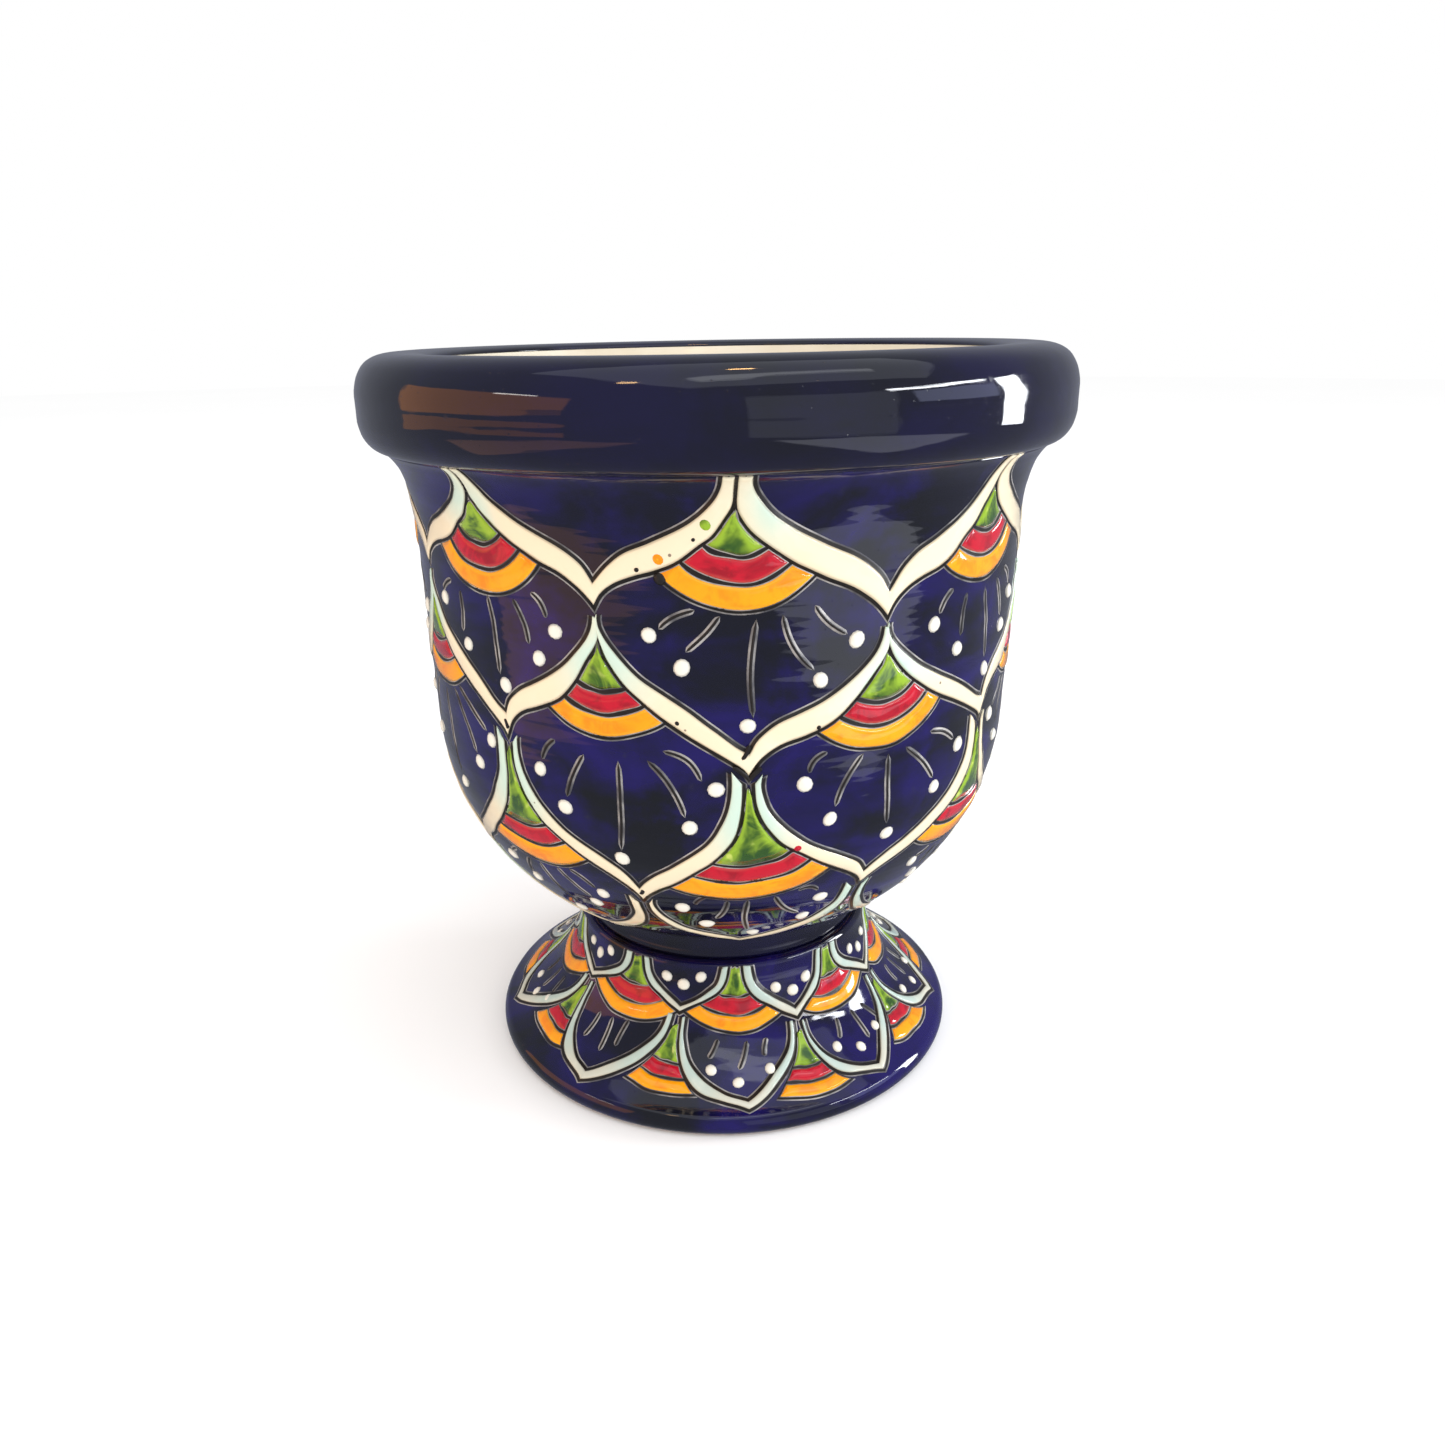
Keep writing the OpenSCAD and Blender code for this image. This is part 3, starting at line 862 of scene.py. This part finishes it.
def lay_ribbons(name, wall, rows, shapes, n, finish):
    """A row of white ribbons, with the black line and the pale edge that each lies on."""
    white, black, pale = Relief(wall), Relief(wall), Relief(wall)
    for i in range(len(rows[0])):
        outer, inner = ribbon_edges(wall, rows, shapes, n, i)
        for relief, grow, height, across in (
            (white, -LINE / 2, lambda v: dome(v, 0.2, 0.62), 7),
            (black, LINE / 2, lambda v: LINE_H, 2),
            (pale, LINE / 2 + EDGE_W, lambda v: EDGE_H, 2),
        ):
            near, far = offset(outer, wall, -grow), offset(inner, wall, grow)
            relief.skin(strip_place(near, far, height), 2 * SIDE_STEPS, across)
    white.done(name + "_ribbons", finish, "ribbon_white", [name + "_ribbons"])
    black.done(name + "_ribbon_lines", BLACK, "cobalt_glaze")
    pale.done(name + "_ribbon_edges", EDGE, "cobalt_glaze")


def polar_limit(wall, apex, edge, margin):
    """Angle of a side about a fan's apex, read by its distance from the apex."""
    k = wall.per_degree(apex[1])
    found = []
    for a, s in edge:
        if s > apex[1] + 0.5:
            k = wall.per_degree(s)
            x, y = (a - apex[0]) * k, s - apex[1]
            found.append((math.hypot(x, y), math.atan2(x, y)))
    sign = 1 if found[-1][1] > 0 else -1

    def limit(r):
        r = max(r, 0.4)
        turn = found[0][1] if r <= found[0][0] else found[-1][1]
        for (r0, t0), (r1, t1) in zip(found, found[1:]):
            if r0 <= r <= r1:
                turn = t0 + (t1 - t0) * (r - r0) / max(1e-6, r1 - r0)
                break
        return turn - sign * min(abs(turn) * 0.9, margin / r)

    return limit


def fan_place(wall, apex, limits, inner, outer, shape, grow, height, seed):
    """A ring of a fan: u runs from its left side to its right, v from its inner arc to its outer."""
    left, right = limits
    tilt, bulge = shape

    def place(u, v):
        across = 2 * u - 1
        wob = noise.noise(Vector((u * 3.1, seed, v * 0.7))) * 0.7
        r = inner - grow + (outer - inner + 2 * grow) * v
        r = max(0.2, r * (1 + tilt * across) + wob)
        lo, hi = left(r), right(r)
        turn = lo - grow / r + (hi - lo + 2 * grow / r) * u
        s = apex[1] + r * math.cos(turn)
        a = apex[0] + r * math.sin(turn) / wall.per_degree(s)
        return a, s + r * (1 - bulge) * (1 - math.cos(turn)), height(u, v)

    return place


def pillow(edge, middle):
    """Height of a puddle of enamel over a four-sided field."""

    def height(u, v):
        across = max(0.0, 1 - (2 * u - 1) ** 6) * max(0.0, 1 - (2 * v - 1) ** 2)
        return edge + (middle - edge) * across**0.5

    return height


def flat_at(h):
    return lambda u, v: h


def lay_fans(name, wall, rows, shapes, fans):
    """Every fan of a wall: green, crimson and orange, with the black between and the pale edges."""
    count = len(rows[0])
    green, red, orange = Relief(wall), Relief(wall), Relief(wall)
    black, pale, bare_edge_and_highlight = Relief(wall), Relief(wall), Relief(wall)
    for n, (drop, bulge, radii) in enumerate(fans):
        for i in range(count):
            corner, left, right = neighbours(rows, n, i)
            jitter = noise.noise_vector(Vector((corner[0] * 0.21, n * 3.3, 1.7)))
            apex = (corner[0] + jitter.x * 0.3, corner[1] + drop + jitter.y * 0.8)
            edges = [side(wall, corner, tip, arm[0]) for tip, arm in zip((left, right), shapes[n])]
            wide = [polar_limit(wall, apex, e, 0.0) for e in edges]
            tight = [polar_limit(wall, apex, e, LINE / 2 + 0.15) for e in edges]
            start, g, r0, r1, o0, o1 = [r * (1 + 0.03 * jitter.z) for r in radii]
            shape = (0.06 * jitter.x, bulge)
            seed = corner[0] * 0.17 + n * 5

            def ring(lo, hi, grow, height, sides):
                return fan_place(wall, apex, sides, lo, hi, shape, grow, height, seed)

            # The pale rim round each fan: partly bare glaze, partly a painted highlight along its black line.
            bare_edge_and_highlight.skin(ring(start - 0.3, o1 + LINE + EDGE_W, 0.0, flat_at(0.05), wide), 24, 12)
            black.skin(ring(start - 0.4, o1 + LINE, 0.0, flat_at(0.11), wide), 24, 12)
            for lo, hi in ((start, g), (r0, r1), (o0, o1)):
                pale.skin(ring(lo, hi, 0.32, flat_at(0.15), tight), 22, 4)
            green.skin(ring(start, g, 0.0, pillow(0.2, 0.75), tight), 18, 9)
            red.skin(ring(r0, r1, 0.0, pillow(0.2, 0.7), tight), 24, 6)
            orange.skin(ring(o0, o1, 0.0, pillow(0.2, 0.7), tight), 26, 6)
    green.done(name + "_green_fans", GREEN, "leaf_green", [name + "_green_fans"])
    red.done(name + "_crimson_bands", RED, "crimson", [name + "_crimson_bands"])
    orange.done(name + "_orange_bands", ORANGE, "orange", [name + "_orange_bands"])
    black.done(name + "_fan_lines", BLACK, "cobalt_glaze")
    pale.done(name + "_fan_field_edges", EDGE, "ribbon_white")
    bare_edge_and_highlight.done(name + "_fan_edges", EDGE, "cobalt_glaze")


def stroke_place(wall, start, end, bow, width, height):
    """A short brush stroke, a little bowed, from start to end."""
    k = wall.per_degree((start[1] + end[1]) / 2)
    dx, dy = (end[0] - start[0]) * k, end[1] - start[1]
    size = math.hypot(dx, dy)
    nx, ny = dy / size, -dx / size

    def place(u, v):
        spread = width / 2 * (1 - (2 * u - 1) ** 8) ** 0.5
        push = bow * math.sin(math.pi * u) + (2 * v - 1) * spread
        a, s = mix(start, end, u)
        return a + nx * push / k, s + ny * push, height

    return place


def polar(wall, apex, r, degrees):
    """A place at a distance and a bearing from a fan's apex, bearing 0 straight down."""
    turn = math.radians(degrees)
    s = apex[1] + r * math.cos(turn)
    return apex[0] + r * math.sin(turn) / wall.per_degree(s), s


def lay_strokes(name, wall, strokes):
    """The thin black strokes under the fans, on their wider pale edges."""
    dark, pale = Relief(wall), Relief(wall)
    for start, end, bow in strokes:
        for relief, width, height in ((pale, 2.2, 0.07), (dark, 0.9, 0.11)):
            relief.skin(stroke_place(wall, start, end, bow, width, height), 12, 1)
    pale.done(name + "_stroke_edges", EDGE, "cobalt_glaze")
    dark.done(name + "_strokes", BLACK, "cobalt_glaze")


# Beads of the scales at the front, by row and column, as (degrees round, millimetres down)
FRONT_BEADS = {
    (0, 0): [(-11, 49.5), (-6, 59), (4.3, 77.5), (16, 64.5), (22, 53.5)],
    (0, 7): [(-55, 47.5), (-48, 61), (-38.5, 71.5), (-30.5, 60), (-27, 50.5)],
    (0, 1): [(37.5, 52.5), (44, 62.5), (54.5, 74), (61, 62), (65, 52)],
    (1, 7): [(-32, 97), (-27.5, 109), (-18, 126), (-5.5, 111.5), (-1, 98)],
    (1, 0): [(13.5, 98), (18.5, 111), (31, 121.5), (41, 109), (47, 97)],
    (2, 7): [(-8, 149), (-3.5, 161), (7.5, 172), (18, 160), (20, 147.5)],
}
# Strokes in the same scales: start, end and sideways bow
FRONT_RAYS = {
    (0, 0): [
        ((-3.8, 41.6), (-9.3, 47.6), -1.0),
        ((0.1, 43.4), (-5.2, 54.5), 0.4),
        ((5.6, 44.6), (5.1, 75.2), -1.2),
        ((9.5, 43.4), (14.9, 61.4), -2.0),
        ((14.6, 41.6), (20.2, 51.4), -1.0),
    ],
    (0, 7): [
        ((-52, 40.5), (-55.5, 45), -0.8),
        ((-49, 43), (-49.3, 57), 0.6),
        ((-41, 42), (-39.6, 68), 0.7),
        ((-35, 42), (-32.2, 56), 0.9),
        ((-31, 39), (-28.2, 46.5), 1.0),
    ],
    (0, 1): [
        ((41.5, 42.5), (38.6, 49.5), -0.8),
        ((45.5, 45), (44.6, 58.8), -0.6),
        ((51.5, 45), (54, 70), 0.8),
        ((56.5, 44), (60, 58), 0.8),
        ((60, 41.5), (64, 48.5), 0.9),
    ],
    (1, 7): [
        ((-28.5, 86), (-31.6, 93.4), -0.9),
        ((-23, 89), (-27, 105), -0.8),
        ((-17, 90), (-17.8, 122.4), 0.9),
        ((-12, 89), (-6.1, 107.8), 1.8),
        ((-9.4, 85.5), (-3.1, 95.4), 2.4),
    ],
    (1, 0): [
        ((17.4, 87.8), (14.2, 94.4), -1.2),
        ((24.2, 90.4), (19.3, 107), -1.4),
        ((29, 92), (30.4, 117.6), -0.5),
        ((32.8, 91.4), (40.2, 105.4), 0.9),
        ((38.5, 88.4), (45.3, 94), 1.1),
    ],
}
# Beads of the other scales: bearing and distance from the fan's apex
BEAD_SPREAD = [(-34, 46.5), (-17, 53), (4, 66), (25, 57), (37, 53)]
# How each row of scales narrows and lengthens that spread
BEAD_ROWS = [(1.0, 1.0), (0.97, 1.04), (0.58, 1.14)]


def scale_beads(wall, n, i, apex):
    """Where the beads of one scale go."""
    if (n, i) in FRONT_BEADS:
        return FRONT_BEADS[n, i]
    narrow, stretch = BEAD_ROWS[n]
    out = []
    for k, (bearing, r) in enumerate(BEAD_SPREAD):
        wob = noise.noise_vector(Vector((apex[0] * 0.37 + k * 2.1, n * 7.7, k * 1.3)))
        out.append(polar(wall, apex, r * stretch + wob.y * 2, bearing * narrow + wob.z * 3))
    return out


def lay_rays(wall, rows):
    """The strokes and beads in every full scale of the bowl."""
    strokes = []
    nodes = ["bowl_upper_dots", "bowl_middle_dots", "bowl_lower_dots"]
    for n in range(3):
        beads = Relief(wall)
        drop, _, radii = BOWL_FANS[n]
        for i, corner in enumerate(rows[n]):
            apex = (corner[0] - 360 if corner[0] > 300 else corner[0], corner[1] + drop)
            for k, (a, s) in enumerate(scale_beads(wall, n, i, apex)):
                wob = noise.noise_vector(Vector((a * 0.31, s * 0.17, k * 1.3)))
                beads.bead(a, s, 5.5 + wob.x * 0.8, 0.9, k + i * 1.3)
                scale = wall.per_degree(s)
                x, y = (a - apex[0]) * scale, s - apex[1]
                bearing, far = math.degrees(math.atan2(x, y)), math.hypot(x, y)
                near = radii[-1] + 2.0 + 2 * abs(wob.y)
                first = polar(wall, apex, near, bearing * 0.74 + wob.z * 4)
                last = polar(wall, apex, max(near + 4, far - 3.8 + wob.y * 2), bearing + wob.x * 5)
                if (n, i) not in FRONT_RAYS:
                    strokes.append((first, last, wob.z * 4))
            strokes += FRONT_RAYS.get((n, i), [])
        beads.done(nodes[n].replace("dots", "beads"), DOT, "dot_white", [nodes[n]])
    lay_strokes("bowl", wall, strokes)


# For each row of fans: the apex's drop below the corner, how full its arcs are, and the radii at
# which the green, the crimson and the orange begin and end
BOWL_FANS = [
    (12.2, 1.0, (0.9, 13.4, 15.2, 21.4, 23.1, 29.4)),
    (9.6, 1.0, (0.9, 15.8, 17.6, 23.2, 24.9, 31.0)),
    (2.4, 1.0, (0.9, 27.8, 29.6, 35.4, 37.1, 44.2)),
]
FOOT_FANS = [
    (-6.5, 1.0, (7.4, 17.8, 19.0, 24.6, 25.8, 30.6)),
    (3.0, 0.45, (0.9, 14.0, 15.2, 19.6, 20.9, 25.4)),
]


# The foot's front strokes; the first number is the column they stand under
FOOT_RAYS = {
    0: [((-2, 27), (-4.6, 34), 0.3), ((6.8, 28), (4, 38), 0.4), ((13, 27.5), (11.4, 34), -0.3)],
    1: [((38, 28), (35.6, 35.5), 0.3), ((44.5, 28), (44.8, 40.5), 0.3), ((49.5, 28), (53, 37), 0.4)],
    8: [((-43.5, 27), (-44.4, 38), 0.4), ((-38, 26.5), (-37.2, 40), 0.3), ((-32, 25.5), (-33, 36), -0.4)],
}
# The one lower scale that the painter left without beads
NO_BEADS = 8


def lay_foot_beads():
    """Three beads in each scale of the foot's two rows, and short strokes above the lower ones."""
    strokes = []
    top, low = Relief(FOOT), Relief(FOOT)
    for i, tip in enumerate(FOOT_ROW_1):
        for k, (da, ds, size) in enumerate(((-6.0, -13, 4.6), (0.6, -10.6, 5.0), (6.6, -14, 4.6))):
            top.bead(tip[0] + da, tip[1] + ds, size, 0.8, i + k * 2.1)
        corner = FOOT_TOP_ROW[i]
        for k, (da, ds) in enumerate(((-8, 0), (-0.5, 3.5), (7.5, 0.5))):
            wob = noise.noise_vector(Vector((corner[0] * 0.41 + k, 4.1, k * 2.3)))
            if i != NO_BEADS:
                low.bead(corner[0] + da + wob.x, 38 + ds + wob.y * 1.5, 4.5, 0.75, i + k * 1.7)
            if i not in FOOT_RAYS:
                start = (corner[0] + da * 0.75 + wob.z, 26.8)
                strokes.append((start, (corner[0] + da * 0.9 + wob.y, 35 + ds), wob.x))
        strokes += FOOT_RAYS.get(i, [])
    top.done("foot_top_beads", DOT, "dot_white", ["foot_top_dots"])
    low.done("foot_lower_beads", DOT, "dot_white", ["foot_lower_dots"])
    lay_strokes("foot", FOOT, strokes)


# Slips of the brush on the front ribbons: (degrees round, millimetres down, across)
BLOTS = {
    "green_slip": (GREEN, "leaf_green", [(-2.0, 16.6, 4.8)]),
    "orange_slip": (ORANGE, "orange", [(-9.0, 26.6, 4.6)]),
    "crimson_slip": (RED, "crimson", [(13.1, 120.6, 3.4)]),
    "line_specks": (
        BLACK,
        "cobalt_glaze",
        [(-8.9, 32.4, 4.2), (-12.3, 29.9, 2), (-3.8, 20.8, 1.7), (-6.8, 76.6, 2), (15.8, 79.4, 1.9)],
    ),
}
# Where the liner's brush crossed the ribbon at a tip: start, end and bow
CROSSINGS = [
    ((4.4, 83.6), (3.3, 88.2), 0.4),
    ((1.8, 90.6), (4.5, 95.0), 0.3),
    ((6.5, 91.2), (4.5, 95.2), -0.3),
    ((-15.2, 139.2), (-16.0, 141.8), 0.2),
    ((-39.2, 82.4), (-38.6, 85.6), 0.2),
]


def lay_slips():
    """The small accidents of painting by hand, on top of the ribbons."""
    for name, (material, slot, blots) in BLOTS.items():
        relief = Relief(BOWL)
        for k, (a, s, across) in enumerate(blots):
            relief.bead(a, s, across, 0.95, k * 1.9)
        relief.done(name, material, slot)
    marks = Relief(BOWL)
    for start, end, bow in CROSSINGS:
        marks.skin(stroke_place(BOWL, start, end, bow, 1.3, 0.7), 10, 2)
    marks.done("line_crossings", BLACK, "cobalt_glaze")


def build_pattern():
    for n, name in enumerate(("bowl_top", "bowl_upper", "bowl_middle", "bowl_lower")):
        lay_ribbons(name, BOWL, BOWL_ROWS, BOWL_SIDES, n, WHITE)
    for n, name in enumerate(("foot_top", "foot_lower")):
        lay_ribbons(name, FOOT, FOOT_ROWS, FOOT_SIDES, n, SHADED_FOOT_WHITE)
    lay_fans("bowl", BOWL, BOWL_ROWS, BOWL_SIDES, BOWL_FANS)
    lay_fans("foot", FOOT, FOOT_ROWS, FOOT_SIDES, FOOT_FANS)
    lay_rays(BOWL, BOWL_ROWS)
    lay_foot_beads()
    lay_slips()


# ---------------------------------------------------------------------------
# Floor, light and camera
# ---------------------------------------------------------------------------


# The white room, and the dimmer one that the glazes reflect
WHITE_AIR = ((1, 1, 1), 1.0)
DIM_AIR = ((0.8, 0.84, 1), 0.26)
MIDDLE = (0, 0, 0.16)
COOL = (0.93, 0.96, 1)


def pale_floor():
    f = Finish("pale_floor")
    place = f.place()
    tone = f.noise(place, 1.5, 2, 0.5)
    f.set(Base_Color=f.blend(tone, (0.965, 0.965, 0.965), (0.985, 0.985, 0.985)), Roughness=0.9)
    f.shader.inputs["Specular IOR Level"].default_value = 0.0
    return f.material


def build_stage():
    bm = bmesh.new()
    bmesh.ops.create_circle(bm, cap_ends=True, segments=64, radius=6.0)
    mesh = bpy.data.meshes.new("studio_floor")
    bm.to_mesh(mesh)
    bm.free()
    mesh.materials.append(pale_floor())
    floor = bpy.data.objects.new("studio_floor", mesh)
    bpy.context.scene.collection.objects.link(floor)
    floor.visible_glossy = False

    world = bpy.data.worlds.new("studio_air")
    bpy.context.scene.world = world
    world.use_nodes = True
    tree = world.node_tree
    tree.nodes.clear()
    out = tree.nodes.new("ShaderNodeOutputWorld")
    pick, ray = tree.nodes.new("ShaderNodeMixShader"), tree.nodes.new("ShaderNodeLightPath")
    for slot, (colour, strength) in enumerate((WHITE_AIR, DIM_AIR), 1):
        air = tree.nodes.new("ShaderNodeBackground")
        air.inputs["Color"].default_value = (*colour, 1)
        air.inputs["Strength"].default_value = strength
        tree.links.new(air.outputs[0], pick.inputs[slot])
    tree.links.new(ray.outputs["Is Glossy Ray"], pick.inputs[0])
    tree.links.new(pick.outputs[0], out.inputs["Surface"])


def area_light(name, place, size, power, colour, aim=MIDDLE):
    data = bpy.data.lights.new(name, "AREA")
    data.shape = "RECTANGLE"
    data.size, data.size_y = size
    data.energy = power
    data.color = colour
    light = bpy.data.objects.new(name, data)
    bpy.context.scene.collection.objects.link(light)
    turn = (Vector(aim) - Vector(place)).to_track_quat("-Z", "Y").to_matrix().to_4x4()
    light.matrix_world = Matrix.Translation(place) @ turn
    return light


def build_lights():
    """Two soft lights for the form, then the room that shows in the glaze."""
    key = area_light("front_right_key", (1.3, -2.2, 1.5), (1.4, 1.4), 11, (1, 0.98, 0.95))
    fill = area_light("left_warm_fill", (-2.0, -1.2, 0.9), (1.0, 1.0), 4.5, (1, 0.62, 0.34))
    key.visible_glossy = fill.visible_glossy = False
    area_light("window", (1.45, 0.12, 0.42), (0.26, 0.66), 9.5, COOL)
    area_light("window_head", (1.35, -0.55, 0.80), (0.9, 0.06), 3.6, COOL)
    area_light("window_glow", (1.42, -0.45, 0.49), (0.8, 0.42), 1.2, (0.6, 0.66, 1))
    area_light("grey_wall", (0.95, -1.6, 0.46), (1.5, 0.9), 1.2, (0.8, 0.85, 1))
    area_light("ceiling_strip", (0.5, -0.9, 2.0), (1.6, 0.25), 1.4, COOL)
    table = (0.72, -0.72, -0.02)
    area_light("table_glow", table, (0.8, 0.9), 1.8, (0.85, 0.88, 1), (0.72, -0.72, 1))
    area_light("brown_wall", (-1.40, -0.38, 0.45), (1.8, 0.62), 2.7, (1, 0.34, 0.0))
    table = (-0.85, -0.62, -0.02)
    area_light("brown_table", table, (0.8, 1.0), 1.1, (1, 0.45, 0.22), (-0.85, -0.62, 1))
    area_light("ceiling", (0.3, -0.5, 2.4), (3.4, 3.0), 13, (0.85, 0.9, 1))
    area_light("shelf_lights", (-1.35, -0.75, 0.80), (0.42, 0.03), 0.35, (1, 0.95, 0.9))
    area_light("warm_lamp", (0.10, -0.25, 1.5), (0.10, 0.04), 0.5, (1, 0.55, 0.2))
    area_light("warm_bulb", (-0.45, -0.75, 1.15), (0.10, 0.03), 0.2, (1, 0.6, 0.25))


# The camera: metres, degrees and millimetres of lens
EYE = (0, -0.4204, 0.2728)
LOOK_DOWN = 19.47
ROLL = -0.68
LENS = 28.0
SENSOR = 36


def build_camera():
    data = bpy.data.cameras.new("view")
    data.sensor_width = SENSOR
    data.lens = LENS
    data.shift_x = 0.0013
    data.clip_start = 0.01
    camera = bpy.data.objects.new("view", data)
    bpy.context.scene.collection.objects.link(camera)
    tilt = Euler((math.radians(90 - LOOK_DOWN), 0, 0)).to_matrix()
    roll = Matrix.Rotation(math.radians(ROLL), 3, "Z")
    camera.matrix_world = Matrix.Translation(EYE) @ (tilt @ roll).to_4x4()
    bpy.context.scene.camera = camera


bpy.context.scene.view_settings.view_transform = "Standard"
build_coats()
build_clay()
build_pattern()
build_stage()
build_lights()
build_camera()

bpy.context.view_layer.update()
